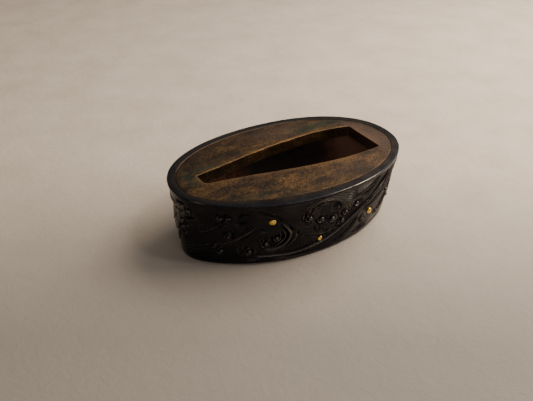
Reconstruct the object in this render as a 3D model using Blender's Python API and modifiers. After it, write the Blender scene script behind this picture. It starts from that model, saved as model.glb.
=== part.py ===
"""Fuchi, the oval collar at the guard end of a Japanese sword hilt.

A dark alloy band, bent to an oval and tapered towards its open end, holds a flush copper ceiling
plate on a ledge. The plate has the wedge-shaped hole for the sword's tang. A fillet of silver solder
under the plate fixes it to the band, and gold drops, the spray of the carved waves, are plugs set in
drilled seats around the band.

Frame: the origin is the middle of the open end, which rests on z = 0. +Z points to the guard, +X to
the spine end of the tang hole, and -Y is the front. Lengths are in metres, at rest and at real size.
"""

from math import copysign, cos, pi, radians, sin

import bmesh
import bpy
from mathutils import Vector

MM = 0.001

# The band: semi-axes and roundness of its outer oval at the guard end and at the open end.
# A roundness of 2 is an ellipse, and a larger one is fuller in the shoulders.
HEIGHT = 11.2 * MM
GUARD_HALF_LENGTH = 19.0 * MM
GUARD_HALF_WIDTH = 11.9 * MM
GUARD_ROUNDNESS = 2.13
OPEN_HALF_LENGTH = 17.8 * MM
OPEN_HALF_WIDTH = 9.9 * MM
OPEN_ROUNDNESS = 2.0
# The front shoulder of the edge end is less full than the other three. Depth and span of each flat.
OUTER_FLAT = (1.1 * MM, radians(90))
INNER_FLAT = (1.5 * MM, radians(120))
WALL = 1.5 * MM  # below the ledge
RIM = 1.25 * MM  # what shows of the wall around the plate
GUARD_EDGE_CHAMFER = 0.15 * MM
OPEN_EDGE_RADIUS = 0.35 * MM
INNER_EDGE_CHAMFER = 0.12 * MM

# The ceiling plate and the film of solder that it floats on.
PLATE_THICKNESS = 1.8 * MM
FILM = 0.05 * MM
FILLET_LEG = 0.6 * MM

# The tang hole: its narrow edge end is at -X, its widest place is at the tang's ridge line, and its
# spine end is at +X. The hole was filed by hand and runs a little askew, which the centres give.
HOLE_EDGE_X = -14.2 * MM
HOLE_EDGE_WIDTH = 2.65 * MM
HOLE_EDGE_CENTRE_Y = 0.93 * MM
HOLE_RIDGE_X = 8.2 * MM
HOLE_RIDGE_WIDTH = 9.1 * MM
HOLE_RIDGE_CENTRE_Y = 0.3 * MM
HOLE_SPINE_X = 14.4 * MM
HOLE_SPINE_WIDTH = 7.9 * MM
HOLE_SPINE_CENTRE_Y = -0.1 * MM
HOLE_EDGE_CORNER = 0.45 * MM

# The gold drops: (degrees round the oval from the edge end towards the front, height, diameter).
DROPS = {
    "gold_drop_front_1": (-5.0, 7.8 * MM, 0.5 * MM),
    "gold_drop_front_2": (62.9, 8.0 * MM, 1.05 * MM),
    "gold_drop_front_3": (87.1, 2.95 * MM, 0.8 * MM),
    "gold_drop_front_4": (100.6, 7.4 * MM, 0.4 * MM),
    "gold_drop_front_5": (120.1, 3.6 * MM, 1.0 * MM),
    "gold_drop_back_1": (-147.0, 7.6 * MM, 1.1 * MM),
    "gold_drop_back_2": (-112.0, 3.2 * MM, 0.9 * MM),
    "gold_drop_back_3": (-84.0, 8.3 * MM, 1.2 * MM),
    "gold_drop_back_4": (-48.0, 4.0 * MM, 0.8 * MM),
}
DROP_DOME = 0.6  # the dome's height as a share of the drop's radius
DROP_PLUG_DEPTH = 0.6 * MM
SEAT_GAP = 0.05 * MM

OVAL_STEPS = 128
DROP_STEPS = 16
DOME_STEPS = 4
CORNER_STEPS = 3
HOLE_STEPS = 12

COLOURS = {  # base colour, metallic, roughness
    "shakudo": ((0.012, 0.011, 0.012), 1.0, 0.42),
    "copper": ((0.17, 0.082, 0.035), 1.0, 0.55),
    "silver_solder": ((0.38, 0.36, 0.32), 1.0, 0.45),
    "gold": ((0.83, 0.53, 0.13), 1.0, 0.3),
}


def clear_scene():
    for obj in list(bpy.data.objects):
        bpy.data.objects.remove(obj)


def new_collection(name, hidden=False):
    collection = bpy.data.collections.new(name)
    collection.hide_render = hidden
    bpy.context.scene.collection.children.link(collection)
    return collection


def new_material(name):
    colour, metallic, roughness = COLOURS[name]
    material = bpy.data.materials.new(name)
    material.use_nodes = True
    shader = material.node_tree.nodes["Principled BSDF"]
    shader.inputs["Base Color"].default_value = (*colour, 1)
    shader.inputs["Metallic"].default_value = metallic
    shader.inputs["Roughness"].default_value = roughness
    return material


def add_object(name, data, collection, material=None, parent=None):
    obj = bpy.data.objects.new(name, data)
    collection.objects.link(obj)
    if material:
        data.materials.append(material)
    obj.parent = parent
    return obj


def power(value, roundness):
    """Cosine or sine raised to the superellipse's power, with its sign kept."""
    return copysign(abs(value) ** (2 / roundness), value)


def oval_point(angle, half_length, half_width, roundness, flat, z):
    """A point of a superellipse, at an angle that starts at the edge end and turns to the front."""
    depth, span = flat
    back = 0.0
    if 0 < angle < span:
        back = depth * sin(pi * angle / span) * cos(pi * angle / (2 * span))
    return Vector(
        (
            -half_length * power(cos(angle), roundness),
            -half_width * power(sin(angle), roundness) + back,
            z,
        )
    )


def wall_oval(z, inset=0.0, flat=OUTER_FLAT):
    """The band's outer oval at a height, inset into the wall, as oval_point's arguments."""
    share = z / HEIGHT
    return (
        OPEN_HALF_LENGTH + (GUARD_HALF_LENGTH - OPEN_HALF_LENGTH) * share - inset,
        OPEN_HALF_WIDTH + (GUARD_HALF_WIDTH - OPEN_HALF_WIDTH) * share - inset,
        OPEN_ROUNDNESS + (GUARD_ROUNDNESS - OPEN_ROUNDNESS) * share,
        flat,
        z,
    )


def seat_oval(z, gap=0.0):
    """The upright oval that the plate drops into, as oval_point's arguments."""
    half_length, half_width, roundness, flat, _ = wall_oval(HEIGHT, RIM + gap, INNER_FLAT)
    return half_length, half_width, roundness, flat, z


def ring_of(ovals):
    """A closed ring whose section is the loop of ovals, which run up the outside, down the inside."""
    verts = [
        oval_point(2 * pi * step / OVAL_STEPS, *oval)
        for oval in ovals
        for step in range(OVAL_STEPS)
    ]
    faces = []
    for level in range(len(ovals)):
        here = level * OVAL_STEPS
        above = (level + 1) % len(ovals) * OVAL_STEPS
        for step in range(OVAL_STEPS):
            after = (step + 1) % OVAL_STEPS
            faces.append((here + step, here + after, above + after, above + step))
    data = bpy.data.meshes.new("ring")
    data.from_pydata(verts, [], faces)
    data.shade_smooth()
    data.set_sharp_from_angle(angle=radians(30))
    return data


def band_ring():
    """The band's section, from the open end up the outside and down the inside."""
    rounded = []
    for step in range(CORNER_STEPS + 1):
        turn = pi / 2 * step / CORNER_STEPS
        rounded.append(
            wall_oval(
                OPEN_EDGE_RADIUS * (1 - cos(turn)), OPEN_EDGE_RADIUS * (1 - sin(turn))
            )
        )
    ledge = HEIGHT - PLATE_THICKNESS - FILM
    return ring_of(
        [
            *rounded,
            wall_oval(HEIGHT - GUARD_EDGE_CHAMFER),
            wall_oval(HEIGHT, GUARD_EDGE_CHAMFER),
            seat_oval(HEIGHT),
            seat_oval(ledge),
            wall_oval(ledge, WALL, INNER_FLAT),
            wall_oval(INNER_EDGE_CHAMFER, WALL, INNER_FLAT),
            wall_oval(0, WALL - INNER_EDGE_CHAMFER, INNER_FLAT),
        ]
    )


def fillet_ring():
    """Solder in the corner between the plate's underside and the band's inner wall."""
    top = HEIGHT - PLATE_THICKNESS - 2 * FILM
    return ring_of(
        [
            wall_oval(top, WALL + FILM, INNER_FLAT),
            wall_oval(top, WALL + FILM + FILLET_LEG, INNER_FLAT),
            wall_oval(top - FILLET_LEG, WALL + FILM, INNER_FLAT),
        ]
    )


def hole_spline(curve):
    """The tang hole's outline: bowed flanks, a flat spine end and small corners at the edge end."""
    flanks = []
    for side in (1, -1):
        edge_y = HOLE_EDGE_CENTRE_Y + side * HOLE_EDGE_WIDTH / 2
        ridge_y = HOLE_RIDGE_CENTRE_Y + side * HOLE_RIDGE_WIDTH / 2
        spine_y = HOLE_SPINE_CENTRE_Y + side * HOLE_SPINE_WIDTH / 2
        slope = (ridge_y - edge_y) / (HOLE_RIDGE_X - HOLE_EDGE_X)
        ridge_reach = (HOLE_RIDGE_X - HOLE_EDGE_X) / 3
        spine_reach = (HOLE_SPINE_X - HOLE_RIDGE_X) / 3
        corner_end = Vector((HOLE_EDGE_X + HOLE_EDGE_CORNER, edge_y, 0))
        corner_side = Vector((HOLE_EDGE_X, edge_y - side * HOLE_EDGE_CORNER, 0))
        ridge = Vector((HOLE_RIDGE_X, ridge_y, 0))
        spine = Vector((HOLE_SPINE_X, spine_y, 0))
        along_edge = Vector((1, 1.3 * slope, 0)) * ridge_reach
        flanks.append(
            [
                (corner_side, None, Vector((0, side, 0)) * HOLE_EDGE_CORNER / 2),
                (corner_end, Vector((-1, 0, 0)) * HOLE_EDGE_CORNER / 2, along_edge),
                (ridge, Vector((-ridge_reach, 0, 0)), Vector((spine_reach, 0, 0))),
                (spine, (ridge - spine) / 3, None),
            ]
        )
    far, near = flanks
    points = far + [(at, after, before) for at, before, after in reversed(near)]
    spline = curve.splines.new("BEZIER")
    spline.bezier_points.add(len(points) - 1)
    spline.use_cyclic_u = True
    spline.resolution_u = HOLE_STEPS
    for i, (at, before, after) in enumerate(points):
        point = spline.bezier_points[i]
        point.co = at
        point.handle_left_type = point.handle_right_type = "FREE"
        point.handle_left = at + (before or (points[i - 1][0] - at) / 3)
        point.handle_right = at + (after or (points[(i + 1) % len(points)][0] - at) / 3)


def plate_curve():
    """The plate: its oval with the tang hole inside it, filled and extruded to its thickness."""
    curve = bpy.data.curves.new("plate", "CURVE")
    curve.dimensions = "2D"
    curve.fill_mode = "BOTH"
    curve.extrude = PLATE_THICKNESS / 2
    outline = curve.splines.new("POLY")
    outline.points.add(OVAL_STEPS - 1)
    outline.use_cyclic_u = True
    for step, point in enumerate(outline.points):
        at = oval_point(2 * pi * step / OVAL_STEPS, *seat_oval(0, FILM))
        point.co = (at.x, at.y, 0, 1)
    hole_spline(curve)
    return curve


def wall_place(degrees, z):
    """The point of the outer wall at that angle and height, and the wall's outward direction there."""
    angle = radians(degrees)
    step = radians(0.5)
    at = oval_point(angle, *wall_oval(z))
    along = oval_point(angle + step, *wall_oval(z)) - at
    up = oval_point(angle, *wall_oval(z + MM)) - at
    return at, along.cross(up).normalized()


def drop_profile(radius):
    """The drop's half section from the top of its dome down its outer side to the plug's foot."""
    crown = [
        Vector(
            (
                radius * sin(pi / 2 * step / DOME_STEPS),
                0,
                radius * DROP_DOME * cos(pi / 2 * step / DOME_STEPS),
            )
        )
        for step in range(DOME_STEPS + 1)
    ]
    return [*crown, Vector((radius, 0, -DROP_PLUG_DEPTH)), Vector((0, 0, -DROP_PLUG_DEPTH))]


def turn(obj):
    """Spins the object's profile round its Z axis into a closed solid."""
    screw = obj.modifiers.new("Turn", "SCREW")
    screw.steps = screw.render_steps = DROP_STEPS
    screw.use_merge_vertices = True
    screw.merge_threshold = 0.001 * MM
    screw.use_smooth_shade = True


def add_drop(name, degrees, z, diameter, parts, cutters, material, parent):
    """A gold plug with a domed head, and the cutter of its seat. Returns the cutter."""
    at, outward = wall_place(degrees, z)
    rotation = outward.to_track_quat("Z", "Y").to_euler()
    profile = drop_profile(diameter / 2)
    data = bpy.data.meshes.new(name)
    data.from_pydata(profile, [(i, i + 1) for i in range(len(profile) - 1)], [])
    drop = add_object(name, data, parts, material, parent)
    drop.location = at
    drop.rotation_euler = rotation
    turn(drop)

    seat = bmesh.new()
    depth = 2 * (DROP_PLUG_DEPTH + SEAT_GAP)
    bmesh.ops.create_cone(
        seat,
        cap_ends=True,
        segments=DROP_STEPS,
        radius1=diameter / 2 + SEAT_GAP,
        radius2=diameter / 2 + SEAT_GAP,
        depth=depth,
    )
    data = bpy.data.meshes.new(name + "_seat")
    seat.to_mesh(data)
    seat.free()
    cutter = add_object(name + "_seat", data, cutters, parent=parent)
    cutter.location = at
    cutter.rotation_euler = rotation
    cutter.display_type = "WIRE"
    cutter.hide_render = True
    return cutter


def build():
    clear_scene()
    parts = new_collection("fuchi")
    cutters = new_collection("fuchi_cutters", hidden=True)
    root = add_object("fuchi_origin", None, parts)
    shakudo = new_material("shakudo")
    gold = new_material("gold")

    band = add_object("collar_band", band_ring(), parts, shakudo, root)
    add_object(
        "solder_fillet", fillet_ring(), parts, new_material("silver_solder"), root
    )
    plate = add_object(
        "ceiling_plate", plate_curve(), parts, new_material("copper"), root
    )
    plate.location.z = HEIGHT - PLATE_THICKNESS / 2

    for name, (degrees, z, diameter) in DROPS.items():
        cutter = add_drop(
            name, degrees, z, diameter, parts, cutters, gold, root
        )
        seat = band.modifiers.new(cutter.name, "BOOLEAN")
        seat.operation = "DIFFERENCE"
        seat.object = cutter


build()
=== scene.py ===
from functools import partial
from math import cos, pi, radians, sin

import bpy
import numpy as np
from mathutils import Matrix, Vector


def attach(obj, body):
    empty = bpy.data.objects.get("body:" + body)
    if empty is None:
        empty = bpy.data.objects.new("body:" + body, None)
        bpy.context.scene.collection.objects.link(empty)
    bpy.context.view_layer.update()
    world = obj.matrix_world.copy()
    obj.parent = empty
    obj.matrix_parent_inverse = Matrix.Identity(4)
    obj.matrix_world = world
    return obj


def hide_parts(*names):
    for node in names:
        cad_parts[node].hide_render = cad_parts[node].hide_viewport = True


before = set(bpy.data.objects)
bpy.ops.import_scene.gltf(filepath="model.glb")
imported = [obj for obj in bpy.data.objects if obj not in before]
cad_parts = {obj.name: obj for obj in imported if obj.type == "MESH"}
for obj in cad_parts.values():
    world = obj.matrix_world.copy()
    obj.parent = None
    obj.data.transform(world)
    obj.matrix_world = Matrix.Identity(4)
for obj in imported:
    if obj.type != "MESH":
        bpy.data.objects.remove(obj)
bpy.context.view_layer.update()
mm = 0.001
print("frame loaded")


# Colours are sRGB hex values, turned to linear here.
def hexColour(text):
    parts = [int(text[i : i + 2], 16) / 255 for i in (1, 3, 5)]
    return tuple(c / 12.92 if c <= 0.04045 else ((c + 0.055) / 1.055) ** 2.4 for c in parts) + (1,)


def grey(value):
    return (value, value, value, 1)


def addNode(tree, kind, inputs=None, stops=(), **settings):
    # an input takes a value, a socket, or a node, which stands for its first output in use
    node = tree.nodes.new(kind)
    for name, value in settings.items():
        setattr(node, name, value)
    for key, value in (inputs or {}).items():
        socket = node.inputs[key] if isinstance(key, int) else next(
            s for s in node.inputs if s.enabled and s.name == key)
        if isinstance(value, bpy.types.Node):
            value = next(s for s in value.outputs if s.enabled)
        if isinstance(value, bpy.types.NodeSocket):
            tree.links.new(value, socket)
        else:
            socket.default_value = value
    for _ in stops[2:]:
        node.color_ramp.elements.new(0.5)
    for number, (place, value) in enumerate(stops):
        node.color_ramp.elements[number].position = place
        node.color_ramp.elements[number].color = hexColour(value) if isinstance(value, str) else grey(value)
    return node


def newMaterial(name, metallic=1.0):
    material = bpy.data.materials.new(name)
    material.use_nodes = True
    material.node_tree.nodes["Principled BSDF"].inputs["Metallic"].default_value = metallic
    add = partial(addNode, material.node_tree)
    return material, add, add("ShaderNodeTexCoord").outputs["Object"]


def finishMaterial(material, colour, roughness, bump):
    tree = material.node_tree
    for name, value in (("Base Color", colour), ("Roughness", roughness), ("Normal", bump)):
        socket = tree.nodes["Principled BSDF"].inputs[name]
        if isinstance(value, bpy.types.Node):
            tree.links.new(next(s for s in value.outputs if s.enabled), socket)
        else:
            socket.default_value = value
    return material


# Shakudo: copper with a little gold, pickled to a black patina. It is a dark metal with a satin
# gloss, brown where the patina is thin, and brighter where hands and cloth have rubbed it.
# Pattern sizes are in mm.
shakudoLook = {
    "blotch": 2.4, "grain": 0.16, "base": [(0.3, "#222125"), (0.55, "#2a292d"), (0.75, "#363335")],
    "rubbed": "#756d65", "rubbedFrom": [(0.72, 0.0), (1.0, 0.8)], "crestWear": 0.5, "grainWear": 0.3,
    "bare": "#e2d8cc", "bareFrom": 1.2, "bareEdge": 3,
    "dirt": "#110f0f", "dirtShare": 0.75, "dirtFrom": [(0.0, 1.0), (0.3, 0.0)],
    "browned": "#46382a", "brownedFrom": [(0.15, 0.0), (0.5, 0.85)],
    "roughness": [(0.08, 0.18), (0.62, 0.42)], "polishMix": 0.4, "wearGloss": 0.35, "dirtRoughness": 0.75,
    "hairHeight": 0.22, "grainHeight": 0.025,
}


def makeShakudo():
    look = shakudoLook
    material, add, coords = newMaterial("shakudoPatina")
    wear = add("ShaderNodeAttribute", attribute_name="wear").outputs["Fac"]
    phase = add("ShaderNodeAttribute", attribute_name="hairPhase").outputs["Fac"]
    depth = add("ShaderNodeAttribute", attribute_name="hairDepth").outputs["Fac"]
    blotch = add("ShaderNodeTexNoise", {"Vector": coords, "Scale": 1 / (look["blotch"] * mm), "Detail": 6})
    grain = add("ShaderNodeTexNoise", {
        "Vector": coords, "Scale": 1 / (look["grain"] * mm), "Detail": 5, "Roughness": 0.65})
    turns = add("ShaderNodeMath", {0: phase, 1: 2 * pi}, operation="MULTIPLY")
    waves = add("ShaderNodeMath", {0: turns}, operation="SINE")
    lines = add("ShaderNodeMath", {0: waves, 1: depth}, operation="MULTIPLY")
    crests = add("ShaderNodeMath", {0: lines, 1: look["crestWear"]}, operation="MULTIPLY", use_clamp=True)
    handling = add("ShaderNodeMath", {0: wear, 1: crests}, operation="ADD")
    rubbing = add("ShaderNodeMath", {0: grain, 1: look["grainWear"], 2: handling}, operation="MULTIPLY_ADD")
    base = add("ShaderNodeValToRGB", {"Fac": blotch}, look["base"])
    rubbed = add("ShaderNodeValToRGB", {"Fac": rubbing}, look["rubbedFrom"])
    handled = add("ShaderNodeMix", {"Factor": rubbed, "A": base, "B": hexColour(look["rubbed"])},
                  data_type="RGBA")
    # the bare colour shows mostly on the guard edge's painted highlight stretches, and on a few strongly rubbed
    # crests
    bare = add("ShaderNodeMath", {0: rubbing, 1: look["bareFrom"]}, operation="SUBTRACT")
    bareShare = add("ShaderNodeMath", {0: bare, 1: look["bareEdge"]}, operation="MULTIPLY", use_clamp=True)
    clean = add("ShaderNodeMix", {"Factor": bareShare, "A": handled, "B": hexColour(look["bare"])},
                data_type="RGBA")
    dirt = add("ShaderNodeValToRGB", {"Fac": wear}, look["dirtFrom"])
    inLines = add("ShaderNodeMath", {0: lines, 1: -1.0}, operation="MULTIPLY", use_clamp=True)
    dirty = add("ShaderNodeMath", {0: dirt, 1: inLines}, operation="MAXIMUM")
    dirtShare = add("ShaderNodeMath", {0: dirty, 1: look["dirtShare"]}, operation="MULTIPLY")
    dark = add("ShaderNodeMix", {"Factor": dirtShare, "A": clean, "B": hexColour(look["dirt"])},
               data_type="RGBA")
    seam = add("ShaderNodeAttribute", attribute_name="seam").outputs["Fac"]
    thin = add("ShaderNodeMath", {0: seam, 1: blotch}, operation="MULTIPLY")
    browned = add("ShaderNodeValToRGB", {"Fac": thin}, look["brownedFrom"])
    colour = add("ShaderNodeMix", {"Factor": browned, "A": dark, "B": hexColour(look["browned"])},
                 data_type="RGBA")
    uneven = add("ShaderNodeMix", {"Factor": look["polishMix"], "A": grain, "B": blotch}, data_type="FLOAT")
    polish = add("ShaderNodeMath", {0: wear, 1: -look["wearGloss"], 2: uneven}, operation="MULTIPLY_ADD")
    gloss = add("ShaderNodeValToRGB", {"Fac": polish}, look["roughness"])
    roughness = add("ShaderNodeMix", {"Factor": dirt, "A": gloss, "B": grey(look["dirtRoughness"])},
                    data_type="RGBA")
    hairs = add("ShaderNodeBump", {"Height": lines, "Strength": 1.0, "Distance": look["hairHeight"] * mm})
    bump = add("ShaderNodeBump", {
        "Height": grain, "Normal": hairs, "Strength": 0.35, "Distance": look["grainHeight"] * mm})
    return finishMaterial(material, colour, roughness, bump)


# The band's inside was never polished: raw copper alloy gone reddish brown and dull with age.
insideLook = {
    "metallic": 0.1, "blotch": 1.6, "pitting": 0.3, "pitDepth": 0.08,
    "colour": [(0.3, "#2a1710"), (0.55, "#6b3c2a"), (0.8, "#a06a48")],
    "halfLength": 18, "grime": [(0.36, 0.0), (0.5, 0.96), (0.8, 0.9), (0.9, 0.0)],  # painted shade, thick from the middle to +X
    # soot is the colour of the painted shade in the middle of the inside
    "soot": "#0b0706", "fresh": "#94705f", "paintedLightFrom": [(0.84, 0.0), (0.93, 0.9)],
    "roughness": [(0.2, 0.5), (0.8, 0.72)],
}


def makeInsideAlloy():
    look = insideLook
    material, add, coords = newMaterial("rawCopperAlloy", look["metallic"])
    blotch = add("ShaderNodeTexNoise", {
        "Vector": coords, "Scale": 1 / (look["blotch"] * mm), "Detail": 6, "Roughness": 0.6})
    pitting = add("ShaderNodeTexNoise", {"Vector": coords, "Scale": 1 / (look["pitting"] * mm), "Detail": 5})
    bare = add("ShaderNodeValToRGB", {"Fac": blotch}, look["colour"])
    along = add("ShaderNodeSeparateXYZ", {"Vector": coords})
    share = add("ShaderNodeMath", {0: along, 1: 1 / (2 * look["halfLength"] * mm), 2: 0.5},
                operation="MULTIPLY_ADD")
    # a painted shade darkens the inside from the middle towards +X
    grime = add("ShaderNodeValToRGB", {"Fac": share}, look["grime"])
    # fresh is a painted light, lightening the inside towards the +X end
    fresh = add("ShaderNodeValToRGB", {"Fac": share}, look["paintedLightFrom"])
    clean = add("ShaderNodeMix", {"Factor": fresh, "A": bare, "B": hexColour(look["fresh"])},
                data_type="RGBA")
    colour = add("ShaderNodeMix", {"Factor": grime, "A": clean, "B": hexColour(look["soot"])},
                 data_type="RGBA")
    roughness = add("ShaderNodeValToRGB", {"Fac": blotch}, look["roughness"])
    bump = add("ShaderNodeBump", {"Height": pitting, "Strength": 0.5, "Distance": look["pitDepth"] * mm})
    return finishMaterial(material, colour, roughness, bump)


# Sheet copper, rubbed down by hand in slanting strokes and then left to brown. The browning is
# thin on the scratches and edges and dark in the pits, with green verdigris where damp stayed.
# Pattern sizes are in mm, and angles are in degrees from +X.
copperLook = {
    "metallic": 0.8, "mottle": 0.45, "smudge": 1.7, "smudgeStretch": 2.2,
    "strokeWidth": 0.12, "strokeLength": 9, "strokeAngle": 40, "crossAngle": -52,
    "browning": [(0.4, "#0f0a06"), (0.46, "#2e2011"), (0.52, "#4d371d"), (0.6, "#76562f")],
    "brushMix": 0.28, "smudgeMix": 0.42, "brokenFrom": [(0.4, 0.25), (0.58, 1.0)],
    "scratch": "#725637", "scratchFrom": [(0.56, 0.0), (0.68, 0.7)],
    "deep": "#150f0a", "deepWhere": [(0.4, 0.15), (0.58, 1.0)],
    "deepFrom": [(0.39, 1.0), (0.43, 0.0)], "crossFrom": [(0.32, 0.7), (0.4, 0.0)],
    "pit": "#0d0b09", "pitSpacing": 1.9, "pitFrom": [(0.05, 1.0), (0.13, 0.0)],
    "pitWhere": [(0.5, 0.0), (0.58, 1.0)], "pitDepth": 1.5, "skinShare": 0.5, "height": 0.05,
    "bloom": "#5b473b", "soot": "#1c1a16", "verdigris": "#233a30", "rubbed": "#96724a",
    "roughness": [(0.35, 0.6), (0.65, 0.38)], "greenRoughness": 0.85,
}


def makeCopper():
    look = copperLook
    material, add, coords = newMaterial("brownedCopper", look["metallic"])
    wear, green, soot, bloom = [
        add("ShaderNodeAttribute", attribute_name=name).outputs["Fac"]
        for name in ("wear", "verdigris", "soot", "bloom")
    ]
    strokes = []
    for angle in (look["strokeAngle"], look["crossAngle"]):
        turned = add("ShaderNodeMapping", {
            "Vector": coords, "Rotation": (0, 0, radians(angle)), "Scale": (look["strokeLength"], 1, 1),
        }, vector_type="TEXTURE")
        strokes.append(add("ShaderNodeTexNoise", {
            "Vector": turned, "Scale": 1 / (look["strokeWidth"] * mm), "Detail": 4, "Roughness": 0.7}))
    mottle = add("ShaderNodeTexNoise", {
        "Vector": coords, "Scale": 1 / (look["mottle"] * mm), "Detail": 8, "Roughness": 0.7,
        "Distortion": 0.5})
    drawn = add("ShaderNodeMapping", {"Vector": coords, "Scale": (look["smudgeStretch"], 1, 1)},
                vector_type="TEXTURE")
    patches = add("ShaderNodeTexNoise", {"Vector": drawn, "Scale": 1 / (look["smudge"] * mm), "Detail": 6})
    holes = add("ShaderNodeTexVoronoi", {"Vector": coords, "Scale": 1 / (look["pitSpacing"] * mm)})
    pit = add("ShaderNodeValToRGB", {"Fac": holes}, look["pitFrom"])
    somewhere = add("ShaderNodeValToRGB", {"Fac": patches}, look["pitWhere"])
    pits = add("ShaderNodeMath", {0: pit, 1: somewhere}, operation="MULTIPLY")
    brushed = add("ShaderNodeValToRGB", {"Fac": patches}, look["deepWhere"])
    broken = add("ShaderNodeValToRGB", {"Fac": mottle}, look["brokenFrom"])
    scratches = add("ShaderNodeValToRGB", {"Fac": strokes[0]}, look["scratchFrom"])
    furrows = add("ShaderNodeValToRGB", {"Fac": strokes[0]}, look["deepFrom"])
    deep = add("ShaderNodeMath", {0: brushed, 1: furrows}, operation="MULTIPLY")
    crossed = add("ShaderNodeValToRGB", {"Fac": strokes[1]}, look["crossFrom"])
    sooty, greened = [
        add("ShaderNodeMath", {0: stain, 1: broken}, operation="MULTIPLY") for stain in (soot, green)]
    brushwork = add("ShaderNodeMix", {"Factor": look["brushMix"], "A": mottle, "B": strokes[0]},
                    data_type="FLOAT")
    grown = add("ShaderNodeMix", {"Factor": look["smudgeMix"], "A": brushwork, "B": patches},
                data_type="FLOAT")
    colour = add("ShaderNodeValToRGB", {"Fac": grown}, look["browning"])
    layers = [(bloom, "bloom"), (scratches, "scratch"), (deep, "deep"), (crossed, "deep"), (sooty, "soot"),
              (greened, "verdigris"), (pits, "pit"), (wear, "rubbed")]
    for mask, layer in layers:
        colour = add("ShaderNodeMix", {"Factor": mask, "A": colour, "B": hexColour(look[layer])},
                     data_type="RGBA")
    gloss = add("ShaderNodeValToRGB", {"Fac": brushwork}, look["roughness"])
    roughness = add("ShaderNodeMix", {"Factor": green, "A": gloss, "B": grey(look["greenRoughness"])},
                    data_type="RGBA")
    skin = add("ShaderNodeMath", {0: mottle, 1: look["skinShare"], 2: strokes[0]}, operation="MULTIPLY_ADD")
    height = add("ShaderNodeMath", {0: pits, 1: -look["pitDepth"], 2: skin}, operation="MULTIPLY_ADD")
    bump = add("ShaderNodeBump", {"Height": height, "Strength": 0.9, "Distance": look["height"] * mm})
    return finishMaterial(material, colour, roughness, bump)


# Fine gold, hammered into its seat and burnished, with a few soft dents. The smallest drops are grimy.
goldLook = {
    "dent": 0.4, "dentDepth": 0.06, "colour": [(0.3, "#d6a337"), (0.5, "#f6d060"), (0.75, "#fff0a8")],
    "tarnish": "#3a2818", "roughness": [(0.3, 0.34), (0.7, 0.2)],
}


def makeGold():
    look = goldLook
    material, add, coords = newMaterial("burnishedGold")
    dents = add("ShaderNodeTexNoise", {"Vector": coords, "Scale": 1 / (look["dent"] * mm), "Detail": 4})
    bright = add("ShaderNodeValToRGB", {"Fac": dents}, look["colour"])
    tarnish = add("ShaderNodeAttribute", attribute_name="tarnish").outputs["Fac"]
    colour = add("ShaderNodeMix", {"Factor": tarnish, "A": bright, "B": hexColour(look["tarnish"])},
                 data_type="RGBA")
    roughness = add("ShaderNodeValToRGB", {"Fac": dents}, look["roughness"])
    bump = add("ShaderNodeBump", {"Height": dents, "Strength": 0.4, "Distance": look["dentDepth"] * mm})
    return finishMaterial(material, colour, roughness, bump)


# Silver solder, left as it flowed: grey, dull, with a slight orange-peel skin.
solderLook = {
    "skin": 0.35, "skinDepth": 0.06, "colour": [(0.3, "#4d4843"), (0.7, "#8f8a80")],
    "roughness": [(0.3, 0.62), (0.7, 0.42)],
}


def makeSolder():
    look = solderLook
    material, add, coords = newMaterial("silverSolder")
    skin = add("ShaderNodeTexNoise", {"Vector": coords, "Scale": 1 / (look["skin"] * mm), "Detail": 5})
    colour = add("ShaderNodeValToRGB", {"Fac": skin}, look["colour"])
    roughness = add("ShaderNodeValToRGB", {"Fac": skin}, look["roughness"])
    bump = add("ShaderNodeBump", {"Height": skin, "Strength": 0.6, "Distance": look["skinDepth"] * mm})
    return finishMaterial(material, colour, roughness, bump)


shakudo, insideAlloy, copper = makeShakudo(), makeInsideAlloy(), makeCopper()
gold, solder = makeGold(), makeSolder()
print("materials made")

# The plain form of the band. Lengths are in mm here, and turned to metres when a mesh is made.
band = {
    "height": 11.2, "guardEnd": (19.0, 11.9, 2.13), "openEnd": (17.8, 9.9, 2.0),
    "outerFlat": (1.1, pi / 2), "innerFlat": (1.5, 2 * pi / 3),  # the slack front shoulder: depth, span
    "wall": 1.5, "rim": 1.25, "plate": 1.8, "film": 0.05,
    "lipHeight": 0.62, "topRound": 0.13, "bottomRound": 0.5, "softEdge": 0.04, "cornerSteps": 6,
    # the two bright stretches of the guard edge are a painted highlight, added to the rim's rubbed wear
    "rimWear": 0.5, "highlightWear": 0.75, "highlightEdges": [(28.0, 4.5), (4.8, 1.2)],  # round place, reach
    "frontColumns": 480, "backColumns": 360, "rows": 98, "innerEvery": 6,
}


def flatAt(angle, flat):
    depth, span = band[flat]
    turn = np.mod(angle, 2 * pi)
    return np.where(turn < span, depth * np.sin(pi * turn / span) * np.cos(pi * turn / (2 * span)), 0)


def ovalAt(angle, z, inset=0.0, shape=None, flat="outerFlat"):
    # superellipse with the height's own length, width and roundness; angle 0 is -X and turns to -Y
    share = z / band["height"]
    a, b, n = shape or [o + (g - o) * share for o, g in zip(band["openEnd"], band["guardEnd"])]
    c, s = np.cos(angle), np.sin(angle)
    return np.stack([-(a - inset) * np.sign(c) * np.abs(c) ** (2 / n),
                     -(b - inset) * np.sign(s) * np.abs(s) ** (2 / n) + flatAt(angle, flat), z + 0 * c], -1)


def seatShape(gap=0.0):
    a, b, n = band["guardEnd"]
    return a - band["rim"] - gap, b - band["rim"] - gap, n


def runAlong(points):
    # distance from the first point to each one
    return np.concatenate([[0], np.cumsum(np.linalg.norm(np.diff(points, axis=0), axis=1))])


# Round distance along the band's middle oval, in mm, for each angle, as if it had no slack shoulder.
fineAngles = np.linspace(-pi, 3 * pi, 8001)
fineOval = ovalAt(fineAngles, band["height"] / 2) - flatAt(fineAngles, "outerFlat")[:, None] * (0, 1, 0)
fineRound = runAlong(fineOval)
fineRound -= np.interp(0, fineAngles, fineRound)
girth = np.interp(2 * pi, fineAngles, fineRound)


def angleAt(distance):
    return np.interp(distance, fineRound, fineAngles)


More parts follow.
